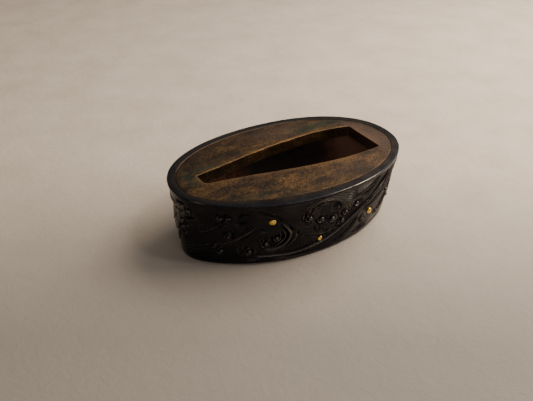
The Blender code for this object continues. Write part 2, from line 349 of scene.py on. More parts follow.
def wallNormal(angle, z):
    along = ovalAt(angle + 0.004, z) - ovalAt(angle - 0.004, z)
    up = ovalAt(angle, z + 0.5) - ovalAt(angle, z)
    out = np.cross(along, up)
    return out / np.linalg.norm(out, axis=-1, keepdims=True)


def curveThrough(points, step=0.05):
    # Catmull-Rom through the points, as evenly spaced points
    p = np.array(points, float)
    p = np.vstack([2 * p[0] - p[1], p, 2 * p[-1] - p[-2]])
    out = []
    for a, b, c, d in zip(p, p[1:], p[2:], p[3:]):
        t = np.linspace(0, 1, max(2, int(np.linalg.norm(c - b) / step)), endpoint=False)[:, None]
        out.append(0.5 * (2 * b + (c - a) * t + (2 * a - 5 * b + 4 * c - d) * t**2
                          + (3 * b - a - 3 * c + d) * t**3))
    return np.vstack(out + [p[-2:-1]])


# The carving is a height in mm over (distance round, height up the wall), cut with the strokes a
# carver makes: sheets of water that step down over each other, rounded strands, grooves, foam.
# The crests are paths that are both the edge of a sheet and a strand along it.
mainCrest = [(12.2, 2), (14, 1.75), (16, 1.6), (18, 1.55), (20.5, 1.75), (22, 2), (23.5, 2.35), (25, 2.95),
             (26.5, 3.7), (28, 4.6), (29.3, 5.4), (30.5, 6.2), (31.5, 6.9), (33, 8), (34.5, 9), (36, 10)]
highCrest = [(27.5, 8.45), (29, 9), (30.5, 9.3), (31.7, 9.8), (33, 10.4), (34, 10.8)]
middleCrest = [(31.2, 4.2), (32.6, 4.9), (34, 5.5), (35.4, 6), (37, 6.8), (38.5, 7.9), (39.8, 9.2),
               (40.6, 10.4)]
lowCrest = [(35.2, 1.7), (37, 2.7), (38.8, 4), (40.4, 5.6), (41.8, 7.4), (43, 9.4)]
carving = {
    "ground": -0.13, "force": 1.3, "relief": (-0.6, 0.12),
    "sag": 0.45,  # the water hangs lower on the slack shoulder, by this share of its depth
    # broad swell of the water: (height, swells round the band, rise to the next one, phase)
    "swell": [(0.07, 7, 9, 0), (0.05, 12, -6, 1)],
    # (depth of the step, how far it fades, points); the low side is on the right going along
    "sheets": [
        (0.34, 1.5, [(20.3, 9.15), (21.2, 9.6), (22.2, 9.65), (23.2, 9.45), (24.1, 9), (24.9, 8.4),
                     (25.5, 7.9)]),
        (0.3, 1.6, mainCrest), (0.3, 0.9, highCrest), (0.26, 1.2, middleCrest), (0.26, 1.2, lowCrest),
        (0.3, 1.1, [(19.3, 4.5), (20.5, 4.32), (21.5, 4.1), (22.4, 3.85), (23.3, 3.8), (24.2, 4.15),
                    (24.85, 4.8),
                    (25.05, 5.6), (24.9, 6.3), (24.4, 6.95), (23.7, 7.15)]),
        (0.22, 1.3, [(4.2, 6.2), (5.4, 6.4), (6.4, 6.9), (7.2, 7.6), (7.8, 8.4)]),
        (0.22, 1, [(7.4, 4.2), (8.6, 4.6), (9.6, 5.1), (10.6, 5.8), (11.7, 6.5), (12.8, 6.9), (14, 7)]),
        (0.2, 1, [(-2.6, 9.4), (-1.4, 9), (-0.2, 9), (1, 9.5), (2, 10.3)]),
        (0.24, 1, [(-3.6, 3.2), (-2.4, 3.6), (-1.2, 4.4), (-0.2, 5.4), (0.6, 6.6), (1.9, 7.2), (3.4, 7)]),
    ],
    # hooks of foam, each curled round a pearl: (round, up, size, degrees where it starts, way it turns)
    "claws": [
        (8.9, 6, 0.6, 200, -1), (7.7, 3.1, 0.7, 60, 1), (11.7, 3, 0.75, 80, 1), (14, 4.2, 0.8, 100, 1),
        (15.5, 5.1, 0.7, 20, -1), (7.9, 9.2, 0.55, 90, 1), (9, 9.2, 0.5, 70, 1), (3.1, 9.3, 0.6, 120, 1),
        (1.4, 7.1, 0.6, 160, 1), (20.2, 7.7, 0.8, 70, 1), (22.2, 6.9, 0.75, 150, 1),
        (24.1, 6.3, 0.85, 60, -1),
        (26.7, 6.4, 0.65, 100, 1), (28.6, 7.3, 0.7, 60, -1), (31.4, 3, 0.55, 60, 1), (35.4, 2.6, 0.6, 60, -1),
        (24.9, 7.9, 0.4, 200, -1), (21.6, 5.5, 0.34, 120, 1), (23, 5, 0.34, 20, -1),
    ],
    "clawRidge": (0.12, 0.26), "clawTurn": 1.5 * pi, "clawPearl": 0.42,
    # (half width, height, points), or with how many run side by side, and their spacing, before the points
    "strands": [
        (0.13, 0.2, 2, 0.4, [(4.4, 5.9), (5.8, 6.3), (7.1, 7.2), (8.2, 7.9), (9.1, 8.5)]),
        (0.13, 0.2, 2, 0.4, [(8, 4.1), (9.1, 4.6), (10.2, 5.4), (11.3, 6.4), (12.3, 7.2)]),
        (0.13, 0.2, [(8.8, 5.1), (9.9, 5.6), (11, 6.4), (12.7, 7.7)]),
        (0.13, 0.18, [(12.4, 6.1), (13.3, 6.3), (14.7, 6.6)]),
        (0.16, 0.17, 3, 0.5, [(41, 2), (43, 3.4), (45, 5.4), (46.5, 7.6)]),
        (0.14, 0.15, 2, 0.45, [(44.5, 1.4), (46.5, 3), (48, 5.2)]),
        (0.13, 0.18, 2, 0.45, [(5.2, 3.4), (7, 3.9), (9, 4.5), (11.2, 5.6), (12.4, 6.4)]),
        (0.14, 0.26, [(24.7, 6.4), (25.3, 5.7), (25.2, 5), (24.6, 4.4), (23.9, 4.1), (22.1, 4.1)]),
        (0.18, 0.27, mainCrest), (0.18, 0.16, highCrest),
        (0.2, 0.16, 3, 0.55, middleCrest), (0.18, 0.15, 3, 0.5, lowCrest),
        (0.16, 0.13, 2, 0.5, [(33.4, 7.3), (35, 8.1), (36.5, 9), (38, 10.2)]),
        (0.15, 0.12, 2, 0.45, [(29.6, 7.9), (31, 8.5), (32.4, 9.2), (33.6, 9.9)]),
        (0.17, 0.15, 2, -0.42, [(20.2, 4.15), (21.5, 3.85), (22.5, 3.5), (23.5, 3.45), (24.5, 3.8),
                                (25.2, 4.5),
                                (25.5, 5.5)]),
        (0.22, 0.22, [(21.3, 9.4), (22.3, 9.45), (23.2, 9.2)]),
        (0.22, 0.2, [(15.9, 8.3), (16.6, 7.3), (17.2, 6.4), (17.5, 5.4), (17.2, 4.3), (16.4, 3.5),
                     (15.2, 3.05),
                            (14, 3.3), (13.25, 4.1), (13.2, 5), (13.7, 5.6)]),
        (0.16, 0.14, [(15.9, 7.3), (16.5, 6.3), (16.75, 5.3), (16.4, 4.4), (15.5, 3.8), (14.5, 3.8),
                      (13.9, 4.4)]),
        (0.14, 0.14, [(15.6, 6.6), (16, 5.7), (15.9, 4.9), (15.3, 4.4)]),
        (0.17, 0.16, [(18.1, 6), (18.4, 5.2), (18.2, 4.3), (17.5, 3.5), (16.5, 2.9), (15.3, 2.5)]),
        (0.15, 0.16, [(19.15, 9), (19.05, 8.2), (19.3, 7.5), (19.7, 7.1)]),
        (0.17, 0.2, [(19.75, 9.4), (20, 8.8), (19.85, 8.2), (20.15, 7.7), (20.55, 7.2), (20.55, 6.6)]),
        (0.16, 0.18, [(19.1, 6.7), (19.5, 6.35), (20.1, 6.25), (20.5, 6.5)]),
        (0.15, 0.16, 3, 0.42, [(4.4, 6.3), (5.5, 6.5), (6.5, 7), (7.3, 7.7), (7.9, 8.5)]),
        (0.15, 0.17, 4, 0.4, [(7.6, 4.35), (8.6, 4.65), (9.6, 5.15), (10.6, 5.85), (11.7, 6.5), (12.8, 6.9)]),
        (0.14, 0.13, 2, 0.42, [(9, 7.3), (10.2, 7.5), (11.2, 7.9), (12.2, 8.6)]),
        (0.14, 0.14, 2, 0.5, [(10.6, 1.3), (12, 1.05), (13.4, 1.25), (14.6, 1.5)]),
        (0.16, 0.18, [(10.1, 4), (10, 3.2), (10.2, 2.4)]),
        (0.17, 0.2, [(10.75, 4.1), (10.85, 3.2), (10.7, 2.3)]),
        (0.16, 0.16, [(11.5, 3.9), (11.6, 3.1), (11.4, 2.4)]),
        (0.16, 0.16, [(12.4, 3.8), (12.5, 3), (12.2, 2.4)]),
        (0.15, 0.18, [(13.75, 5.3), (13.6, 4.7), (13.75, 4.2)]),
        (0.16, 0.2, [(14.3, 5.2), (14.2, 4.6), (14.3, 4.2)]),
        (0.16, 0.16, 2, 0.45, [(7.3, 10), (7.25, 9.4), (7.5, 8.9)]),
        (0.14, 0.14, 2, 0.42, [(-2.6, 9.5), (-1.4, 9.1), (-0.2, 9.1), (1, 9.6), (2, 10.4)]),
        (0.15, 0.16, 3, 0.42, [(-3.6, 3.2), (-2.4, 3.6), (-1.2, 4.4), (-0.2, 5.4), (0.6, 6.6)]),
        (0.15, 0.15, 2, -0.42, [(24.9, 1), (26.5, 1.5), (28, 2.3), (29.2, 3.3), (30.2, 4.2)]),
        (0.13, 0.12, 2, 0.42, [(29.8, 1), (31.8, 1.2), (33.6, 0.95)]),
    ],
    # (half width, depth, points)
    "grooves": [
        (0.16, 0.5, [(0.4, 10), (1.4, 10.2), (2.5, 10.1)]), (0.15, 0.5, [(2, 7.9), (3.1, 8.15), (4.3, 8.6)]),
        (0.16, 0.5, [(0.2, 5.9), (1.7, 6.3), (3.2, 7.2)]), (0.15, 0.5, [(0.3, 8.4), (1.2, 8.5), (2, 8.8)]),
        (0.15, 0.45, [(0, 4.8), (0.9, 4.7), (1.8, 5)]), (0.18, 0.45, [(9.9, 9.2), (10.8, 9.7), (11.8, 9.6)]),
        (0.16, 0.4, [(9.7, 8), (10.4, 8.2), (11.3, 8.7)]),
        (0.2, 0.5, [(20.4, 8.7), (21.1, 9.5), (21.9, 9.8), (23.1, 9.5), (24.3, 9), (25.5, 8.1)]),
        (0.2, 0.34, [(12.4, 10.5), (13.2, 10.2), (14.2, 9.75), (15.1, 9.2), (15.8, 8.6), (16.4, 7.8),
                     (17.1, 6.9),
                     (17.9, 6.1), (18.6, 5.3), (19.4, 4.55)]),
        (0.15, 0.3, [(19.4, 4.5), (20.5, 4.2), (21.5, 3.95), (22.4, 3.7), (23.3, 3.65), (24.3, 4), (25, 4.75),
                     (25.25, 5.6), (25.1, 6.4)]),
        (0.2, 0.28, [(15.2, 1.2), (17, 1.1), (19, 1.1), (21, 1.35), (22.6, 1.7), (24, 2.1), (25.5, 2.7),
                     (27, 3.5),
                     (28.5, 4.4), (29.8, 5.2), (31, 6)]),
        (0.16, 0.22, [(28.6, 8.5), (30, 8.85), (31.4, 9.2), (32.4, 9.6), (33.4, 10.1)]),
        (0.12, 0.2, [(20.1, 9), (19.6, 8.5), (19.55, 8), (19.8, 7.5)]),
        (0.12, 0.2, [(15.7, 7.8), (16.3, 6.9), (16.9, 6), (17.1, 5.2), (16.8, 4.3), (16, 3.65), (15, 3.4)]),
        (0.13, 0.25, [(2.2, 8.9), (3.2, 8.5), (4.3, 8.3)]),
        (0.13, 0.25, [(1.1, 7.4), (2.1, 7), (3.4, 6.6)]),
        (0.12, 0.22, [(-0.8, 8.2), (0.2, 8.1), (1.2, 8.4)]),
        (0.11, 0.2, [(9.1, 8.35), (10.1, 8.5), (11.1, 8.3)]),
        (0.11, 0.2, [(10, 9.7), (10.5, 10), (11, 9.8)]),
        (0.11, 0.16, [(28.2, 2), (28.8, 1.75), (29.6, 1.4), (30.2, 1.1)]),
        (0.1, 0.15, [(8.2, 6.35), (9.5, 6.45), (10.5, 6.9), (11.4, 7.4), (12, 7.75)]),
        (0.11, 0.18, [(13, 3.9), (13.3, 3.1), (14.1, 2.75), (15.1, 2.75)]),
        (0.1, 0.14, [(33.6, 1.8), (34.8, 1.2), (35.6, 0.9)]),
    ],
    # hairlines: (spacing, how far they reach, depth, points); they run beside the path on its left
    "hairlines": [
        (0.3, 2.4, 1, [(20.4, 9.9), (21.5, 10.1), (22.8, 10), (24, 9.6), (25.2, 9), (26.3, 8.5),
                       (27.3, 8.4)]),
        (0.3, 2.4, 1, [(20.4, 10.6), (19.6, 9.9), (18.9, 9), (18.7, 8.1), (18.9, 7.2), (19.3, 6.5)]),
        (0.32, 1.4, 0.8, [(27.8, 8.9), (29.2, 9.35), (30.6, 9.7), (32, 10.2)]),
        (0.34, 1.6, 0.7, [(24.6, 3.2), (26.2, 4), (27.8, 5), (29.2, 5.9), (30.4, 6.8)]),
        (0.32, 1.2, 0.8, [(13.6, 5.8), (13.2, 5), (13.3, 4.2), (14, 3.6), (15.2, 3.3), (16.2, 3.8),
                          (16.9, 4.6),
                          (17.1, 5.4), (16.8, 6.4)]),
        (0.36, 1.8, 0.6, [(31.5, 5.2), (33.4, 6.2), (35.2, 7), (37, 8.3)]),
        (0.36, 1.6, 0.6, [(2, 1.4), (4, 2.4), (6, 3), (7.6, 3.9)]),
        (0.36, 0.8, 0.25, [(15.5, 1.9), (18, 1.85), (20.5, 2.05), (22.6, 2.5), (24.4, 3.1)]),
        (0.36, 1.6, 0.5, [(36.4, 2.9), (38.2, 4.3), (39.8, 6), (41, 7.8)]),
        (0.34, 1.3, 0.6, [(-2.4, 4.2), (-1.2, 5.1), (-0.4, 6.1), (0.1, 7.2)]),
    ],
    # foam: (middle, half sizes)
    "foam": [((22.9, 8.2), (1.5, 0.8)), ((22.3, 5.2), (1.9, 0.9)), ((25, 7.5), (0.9, 0.7)),
             ((14.5, 6.4), (0.7, 0.7)), ((7.3, 3.1), (0.7, 0.9)), ((0.6, 8), (0.9, 0.9)),
             ((31.2, 3.4), (0.9, 0.6)), ((12.9, 9.2), (0.8, 0.5))],
    # single pearls: (round, up, radius)
    "pearls": [(31.6, 2.75, 0.3), (2.9, 9.3, 0.3), (1.1, 6.7, 0.28), (26.3, 5, 0.32), (37.6, 5.4, 0.3),
               (40.2, 3, 0.36), (42.6, 5.9, 0.34)],
    "pearlLift": 0.06, "foamHeight": 0.3, "foamLump": (0.95, 1.15),  # the lumps' lengths both ways
    "seat": 0.12, "seatFloor": (-0.25, -0.12), "seatGroove": (0.14, 0.13),  # round a pearl or a gold drop
    "lipWaves": [(0.04, 1.3), (0.03, 3.1)], "lip": (-0.015, 0.012, 0.9),
    "foot": (0.75, 0.35, -0.1),  # top of the plain foot, how far it fades, depth
}
# Gold drops: (degrees round, height up, width)
drops = {
    "gold_drop_front_1": (-5.0, 7.8, 0.5), "gold_drop_front_2": (62.9, 8.0, 1.05),
    "gold_drop_front_3": (87.1, 2.95, 0.8), "gold_drop_front_4": (100.6, 7.4, 0.4),
    "gold_drop_front_5": (120.1, 3.6, 1.0), "gold_drop_back_1": (-147.0, 7.6, 1.1),
    "gold_drop_back_2": (-112.0, 3.2, 0.9), "gold_drop_back_3": (-84.0, 8.3, 1.2),
    "gold_drop_back_4": (-48.0, 4.0, 0.8),
}


# The grid's columns (distance round) and rows (height).
columnAngles = np.concatenate([
    angleAt(np.linspace(0, girth / 2, band["frontColumns"], endpoint=False)),
    angleAt(np.linspace(girth / 2, girth, band["backColumns"], endpoint=False)),
])
columnRound = np.interp(columnAngles, fineAngles, fineRound)
rowHeights = np.linspace(band["bottomRound"], band["height"] - band["topRound"], band["rows"])
roundGrid, upGrid = np.meshgrid(columnRound, rowHeights)


def wrapped(distance):
    # the shortest way round, as a signed distance
    return (distance + girth / 2) % girth - girth / 2


def onFront(points):
    p = np.array(points, float)
    p[:, 1] -= carving["sag"] * flatAt(angleAt(p[:, 0]), "outerFlat")
    return p


def onBack(points):
    # the back's waves: the front's, half a turn on and a little altered
    p = np.array(points, float)
    return np.stack([girth / 2 + 1.2 + 0.96 * p[:, 0] + 0.3 * np.sin(p[:, 1]),
                     np.clip(p[:, 1] + 0.25 * np.sin(0.35 * p[:, 0] + 1), 0.6, 10.8)], 1)


def nearPath(points, reach):
    # for the grid cells within reach: their rows and columns, how far they lie to the path's left, how
    # far past its nearest point, how far along the path that point is, and the path's whole length
    path = curveThrough(points)
    middle = (path[:, 0].min() + path[:, 0].max()) / 2
    s = wrapped(roundGrid - middle) + middle
    inside = ((s > path[:, 0].min() - reach) & (s < path[:, 0].max() + reach)
              & (upGrid > path[:, 1].min() - reach) & (upGrid < path[:, 1].max() + reach))
    rows, cols = np.nonzero(inside)
    here = np.stack([s[rows, cols], upGrid[rows, cols]], 1)
    best = np.full(len(here), 1e9)
    nearest = np.zeros(len(here), int)
    for start in range(0, len(path), 64):
        gap = ((here[:, None] - path[None, start : start + 64]) ** 2).sum(2)
        index = gap.argmin(1)
        value = gap[np.arange(len(here)), index]
        better = value < best
        best[better], nearest[better] = value[better], index[better] + start
    tangent = np.gradient(path, axis=0)
    tangent /= np.linalg.norm(tangent, axis=1, keepdims=True)
    away = here - path[nearest]
    side = tangent[nearest, 0] * away[:, 1] - tangent[nearest, 1] * away[:, 0]
    run = (tangent[nearest] * away).sum(1)
    length = runAlong(path)
    return rows, cols, side, run, length[nearest], length[-1]


def clawPath(s, z, size, start, way, wider=0.0):
    # from its open end inwards, three quarters round
    t = np.linspace(0, 1, 9)
    turn = radians(start) + way * carving["clawTurn"] * t
    reach = size * (1 - 0.45 * t) + wider
    return np.stack([s + reach * np.cos(turn), z + reach * np.sin(turn)], 1)


def endFade(along, total, over):
    return np.clip(np.minimum(along, total - along) / over, 0, 1) ** 0.7


def cutSheets(height, turn):
    for drop, fade, points in carving["sheets"]:
        rows, cols, side, run, along, total = nearPath(turn(points), 3 * fade)
        ends = endFade(along, total, 1.2) * (np.abs(run) < 0.15)
        low = np.where(side < 0, np.exp(side / fade), 0) * np.clip(-side / 0.1, 0, 1)
        high = np.where(side >= 0, np.exp(-side / (0.8 * fade)), 0)
        height[rows, cols] += ends * (0.35 * drop * high - drop * low)


def cutStrands(height, turn, strands):
    for half, rise, *beside, points in strands:
        count, spacing = beside or (1, 0)
        for k in range(count):
            rows, cols, side, run, along, total = nearPath(turn(points), abs(spacing) * count + 3 * half)
            ends = endFade(along, total, 1.0) * np.exp(-np.clip(np.abs(run) - 0.05, 0, None) ** 2 / 0.02)
            off = (side - k * spacing) / half
            bead = np.sqrt(np.clip(1 - (off / 1.5) ** 2, 0, 1)) * np.exp(-(off**2) / 4)
            trough = np.exp(-((np.abs(off) - 1.7) ** 2) / 0.25)
            height[rows, cols] += ends * rise * carving["force"] * (bead - 0.6 * trough) * (1 - 0.2 * k)


def cutGrooves(height, turn, grooves):
    for half, cut, points in grooves:
        rows, cols, side, run, along, total = nearPath(turn(points), 4 * half)
        ends = endFade(along, total, 0.8) * (np.abs(run) < 0.1)
        height[rows, cols] -= ends * cut * np.clip(1 - np.abs(side) / (1.3 * half), 0, 1) ** 0.8


def drawHairlines(phase, depth, turn):
    for spacing, reach, strength, points in carving["hairlines"]:
        rows, cols, side, run, along, total = nearPath(turn(points), reach + 0.5)
        mask = (np.clip(side / 0.15, 0, 1) * np.clip((reach - side) / 0.4, 0, 1)
                * np.clip(np.minimum(along, total - along) / 0.5, 0, 1) * (np.abs(run) < 0.1)) * strength
        over = mask > depth[rows, cols]
        phase[rows[over], cols[over]] = side[over] / spacing
        depth[rows[over], cols[over]] = mask[over]


def raiseFoam(height, depth, turn):
    leaning, falling = carving["foamLump"]
    for middle, (wide, tall) in carving["foam"]:
        s, z = turn([middle])[0]
        ds, dz = wrapped(roundGrid - s), upGrid - z
        mask = np.clip(1.6 * (1 - (ds / wide) ** 2 - (dz / tall) ** 2), 0, 1)
        lump = (np.abs(np.sin(2 * pi * (ds + 0.7 * dz) / leaning + 0.8 * np.sin(3 * dz)))
                * np.abs(np.sin(2 * pi * (ds - 1.1 * dz) / falling + 0.6 * np.sin(4 * ds))))
        height += mask * carving["foamHeight"] * (lump - 0.45)
        depth *= 1 - mask


def carve():
    half, rise = carving["clawRidge"]
    strands = carving["strands"] + [(half, rise, clawPath(*claw)) for claw in carving["claws"]]
    grooves = carving["grooves"] + [(half, rise, clawPath(*claw, 2 * half)) for claw in carving["claws"]]
    height = np.full(roundGrid.shape, carving["ground"])
    height += sum(size * np.sin(2 * pi * (roundGrid / (girth / count) + upGrid / pitch) + start)
                  for size, count, pitch, start in carving["swell"])
    phase = np.zeros_like(height)
    depth = np.zeros_like(height)
    for turn in (onFront, onBack):
        cutSheets(height, turn)
        cutStrands(height, turn, strands)
        cutGrooves(height, turn, grooves)
        drawHairlines(phase, depth, turn)
        raiseFoam(height, depth, turn)
    edge = carving["seat"]
    grooveDepth, grooveWidth = carving["seatGroove"]
    for s, z, radius, _ in pearlList():
        gap = np.hypot(wrapped(roundGrid - s), upGrid - z)
        seat = np.clip((radius + edge - gap) / edge, 0, 1)
        height = height * (1 - seat) + seat * np.clip(height, *carving["seatFloor"])
        height -= grooveDepth * np.exp(-((gap - radius - 0.05) / grooveWidth) ** 2)
        depth *= np.clip((gap - radius - 0.2) / 0.3, 0, 1)
    # the plain lip under the guard end, with a small step below it, and a narrow plain foot
    lipEdge = band["height"] - band["lipHeight"]
    for size, often in carving["lipWaves"]:
        lipEdge = lipEdge + size * np.sin(roundGrid * often)
    lip = np.clip((upGrid - lipEdge) / 0.1 + 0.5, 0, 1)
    lipLevel, lipSwell, often = carving["lip"]
    footTop, footFade, footLevel = carving["foot"]
    foot = np.clip((footTop - upGrid) / footFade, 0, 1)
    height = height * (1 - lip) + lip * (lipLevel + lipSwell * np.sin(roundGrid * often))
    height = height * (1 - foot) + foot * footLevel
    depth *= (1 - lip) * (1 - foot)
    return np.clip(height, *carving["relief"]), phase, depth


def pearlList():
    # (distance round, height up, radius, whether it is a pearl and not the seat of a gold drop)
    found = []
    for turn in (onFront, onBack):
        held = [(s, z, size * carving["clawPearl"]) for s, z, size, *_ in carving["claws"]]
        every = carving["pearls"] + held
        places = turn([(s, z) for s, z, _ in every])
        found += [(s, z, radius, True) for (s, z), (_, _, radius) in zip(places, every)]
    for degrees, z, across in drops.values():
        found.append((float(np.interp(radians(degrees), fineAngles, fineRound)), z, across / 2, False))
    return found


reliefGrid, phaseGrid, depthGrid = carve()


def blurred(grid, times):
    for _ in range(times):
        grid = (np.roll(grid, 1, 1) + 2 * grid + np.roll(grid, -1, 1)) / 4
        padded = np.vstack([grid[:1], grid, grid[-1:]])
        grid = (padded[:-2] + 2 * padded[1:-1] + padded[2:]) / 4
    return grid


reliefGrid = blurred(reliefGrid, 1)
# high places against their surroundings are rubbed bright, and low ones hold dirt
wearing = {"level": 0.45, "contrast": 2.4, "near": 1, "around": 14}
proud = blurred(reliefGrid, wearing["near"]) - blurred(reliefGrid, wearing["around"])
wearGrid = np.clip(wearing["level"] + wearing["contrast"] * proud, 0, 1)
print(f"waves carved, relief from {reliefGrid.min():.2f} to {reliefGrid.max():.2f} mm")


def addAttribute(mesh, name, values):
    layer = mesh.attributes.new(name, "FLOAT", "POINT")
    layer.data.foreach_set("value", np.ascontiguousarray(values, dtype=np.float32))


def meshFrom(name, verts, faces, materials, sharpAngle=35):
    mesh = bpy.data.meshes.new(name)
    mesh.from_pydata([tuple(v) for v in np.asarray(verts) * mm], [], faces)
    for material in materials:
        mesh.materials.append(material)
    mesh.shade_smooth()
    mesh.set_sharp_from_angle(angle=radians(sharpAngle))
    return mesh


def addObject(name, data):
    made = bpy.data.objects.new(name, data)
    bpy.context.scene.collection.objects.link(made)
    return made


def addPiece(name, mesh, replaced=()):
    piece = addObject(name, mesh)
    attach(piece, "root")
    if replaced:
        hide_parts(*replaced)
    return piece


def ringNumbers(rings, count, start=0):
    # the vertex numbers of each ring, where every ring has count vertices
    return [list(range(start + ring * count, start + (ring + 1) * count)) for ring in range(rings)]


def bridge(first, second, every=1):
    # faces from one loop of vertex numbers to the next, which may have fewer
    faces = []
    for k in range(len(second)):
        outer = [first[(k * every + j) % len(first)] for j in range(every + 1)]
        faces.append((*outer, second[(k + 1) % len(second)], second[k]))
    return faces


def makeBand():
    every, top, softEdge = band["innerEvery"], band["height"], band["softEdge"]
    coarse = columnAngles[::every]
    seat = top - band["plate"] - band["film"]
    bottomRound, topRound = band["bottomRound"], band["topRound"]
    normals = wallNormal(columnAngles, top / 2)
    corner = np.linspace(0, pi / 2, band["cornerSteps"])
    loops = []  # points, wear, hair phase, hair depth
    for turn in corner[:-1]:  # the worn foot, from its flat up to the wall
        points = ovalAt(columnAngles, bottomRound * (1 - cos(turn)), bottomRound * (1 - sin(turn)))
        loops.append((points + normals * reliefGrid[:1].T * sin(turn), 0.5, 0, 0))
    for row, z in enumerate(rowHeights):
        points = ovalAt(columnAngles, z) + wallNormal(columnAngles, z) * reliefGrid[row][:, None]
        loops.append((points, wearGrid[row], phaseGrid[row], depthGrid[row]))
    # the guard edge is painted brighter in two stretches, a painted highlight added on top of its even rubbed
    # wear, and wanders a little
    edge = 0.015 * np.sin(columnRound * 2.3) + 0.01 * np.sin(columnRound * 5.1 + 1)
    bright = sum(
        np.clip(1.3 - np.abs(columnRound - middle) / reach, 0, 1) for middle, reach in band["highlightEdges"])
    for turn in corner[1:]:
        points = ovalAt(columnAngles, top - topRound * (1 - sin(turn)), topRound * (1 - cos(turn)))
        points = points + normals * (reliefGrid[-1] + edge * sin(2 * turn))[:, None] * cos(turn)
        loops.append((points, band["rimWear"] + band["highlightWear"] * bright * sin(2 * turn), 0, 0))

    count = len(columnAngles)
    rings = ringNumbers(len(loops), count)
    faces = []
    for below, above in zip(rings, rings[1:]):
        faces += bridge(below, above)
    # over the rim, then down the inside with fewer columns
    inner = [
        ovalAt(coarse, top, -softEdge, seatShape(), "innerFlat"),
        ovalAt(coarse, top - softEdge, 0, seatShape(), "innerFlat"),
        ovalAt(coarse, seat, 0, seatShape(), "innerFlat"),
        *(ovalAt(coarse, z, band["wall"], None, "innerFlat") for z in np.linspace(seat, 2 * softEdge, 5)),
        ovalAt(coarse, 0, band["wall"] - 2 * softEdge, None, "innerFlat"),
    ]
    verts = np.vstack([loop[0] for loop in loops] + inner)
    start = len(loops) * count
    innerRings = ringNumbers(len(inner), len(coarse), start)
    faces += bridge(rings[-1], innerRings[0], every)
    insideFrom = len(faces) + len(coarse)
    for above, below in zip(innerRings, innerRings[1:]):
        faces += bridge(above, below)
    insideTo = len(faces)
    faces += [tuple(reversed(face)) for face in bridge(rings[0], innerRings[-1], every)]
    mesh = meshFrom("carvedBand", verts, faces, [shakudo, insideAlloy], 40)
    number = np.arange(len(faces))
    inside = (number >= insideFrom) & (number < insideTo)
    mesh.polygons.foreach_set("material_index", inside.astype(np.int32))
    for column, (name, rest) in enumerate((("wear", band["rimWear"]), ("hairPhase", 0), ("hairDepth", 0)), 1):
        values = [np.broadcast_to(loop[column], count) for loop in loops]
        addAttribute(mesh, name, np.concatenate(values + [np.full(len(verts) - start, rest)]))
    addAttribute(mesh, "seam", np.arange(len(verts)) >= start)
    print("band:", len(faces), "faces")
    return addPiece("carved_band", mesh, ["collar_band"])


makeBand()

# The ceiling plate. Its hole was sawn and filed by hand, so its edges are soft and uneven.
plate = {
    "gap": 0.03, "sunk": 0.02, "edgeRound": 0.1, "holeRound": 0.09, "cornerSteps": 5, "edgeSteps": 4,
    "rings": 22, "outline": 480, "fineOutline": 4000, "startAngle": 0.1, "wallLevels": (0.08, 0.5, 0.9, 1.3),
    "farFlank": [(-14.2, 2.25), (-12, 2.6), (-9.4, 2.98), (-6.5, 3.5), (-3.8, 3.95), (0.06, 4.45),
                 (4.5, 4.78), (8.2, 4.85), (11, 4.6), (13, 4.2), (14.5, 3.85)],
    "nearFlank": [(-14.2, -0.4), (-12, -0.7), (-9.4, -1.15), (-6.5, -1.75), (-3.8, -2.4), (-1.06, -3.0),
                  (2.56, -3.65), (6.0, -4.1), (9.0, -4.3), (12, -4.25), (14.35, -4.05)],
    # how far the hole's corners are rounded: near and far at the edge end, then at the spine end
    "cornerRound": (0.75, 0.3, 0.25, 0.3), "leastRound": 0.15,
    "wander": 0.035, "holeWear": 0.5, "rimStain": 0.7, "rimSoot": 0.8, "wallSoot": 0.12,
    # stains: (strength, middle x, middle y, half size x, half size y)
    "verdigris": [(0.7, -15.4, 1.8, 0.9, 1.7), (0.8, -12.2, 3.6, 2.0, 0.5), (0.75, 9.6, 6.6, 4.2, 1.0),
                  (0.45, -8.8, -6.9, 1.8, 0.6)],
    "soot": [(0.5, 2, -8.2, 6, 1.0), (0.5, -10, 4.9, 3.4, 0.8), (0.5, 0, 8.4, 3, 1.3),
             (0.2, -12.5, -3.2, 1.6, 1.4)],
    "bloom": [(0.55, 3, 7.8, 4.5, 1.8), (0.6, 16.4, 0, 1.8, 7), (0.9, 14.5, 0.5, 0.8, 4.5),
              (0.25, 9, -7, 6, 2.0)],
}


def holeOutline():
    # from the edge end, along the near flank, across the spine end and back along the far flank
    near, far, fine = plate["nearFlank"], plate["farFlank"], plate["fineOutline"]
    loop = np.vstack([curveThrough(near, 0.1), curveThrough(far, 0.1)[::-1], near[:1]])
    length = runAlong(loop)
    even = np.linspace(0, length[-1], fine, endpoint=False)
    points = np.stack([np.interp(even, length, loop[:, 0]), np.interp(even, length, loop[:, 1])], 1)
    step = length[-1] / fine
    # corners rounded by averaging over a length that changes round the outline
    reach = np.full(fine, plate["leastRound"])
    for at, size in zip((near[0], far[0], near[-1], far[-1]), plate["cornerRound"]):
        gap = np.linalg.norm(points - np.array(at), axis=1)
        reach = np.maximum(reach, size * np.clip(1.6 - gap / (1.5 * size), 0, 1))
    soft = points.copy()
    for index in range(fine):
        half = max(1, int(reach[index] / step))
        soft[index] = points[np.arange(index - half, index + half + 1) % fine].mean(0)
    middle = soft.mean(0)
    uneven = plate["wander"] * (np.sin(even * 0.9) * 0.6 + np.sin(even * 2.3 + 1) * 0.4)[:, None]
    soft += (soft - middle) / np.linalg.norm(soft - middle, axis=1, keepdims=True) * uneven
    return soft[np.linspace(0, fine, plate["outline"], endpoint=False).astype(int)]


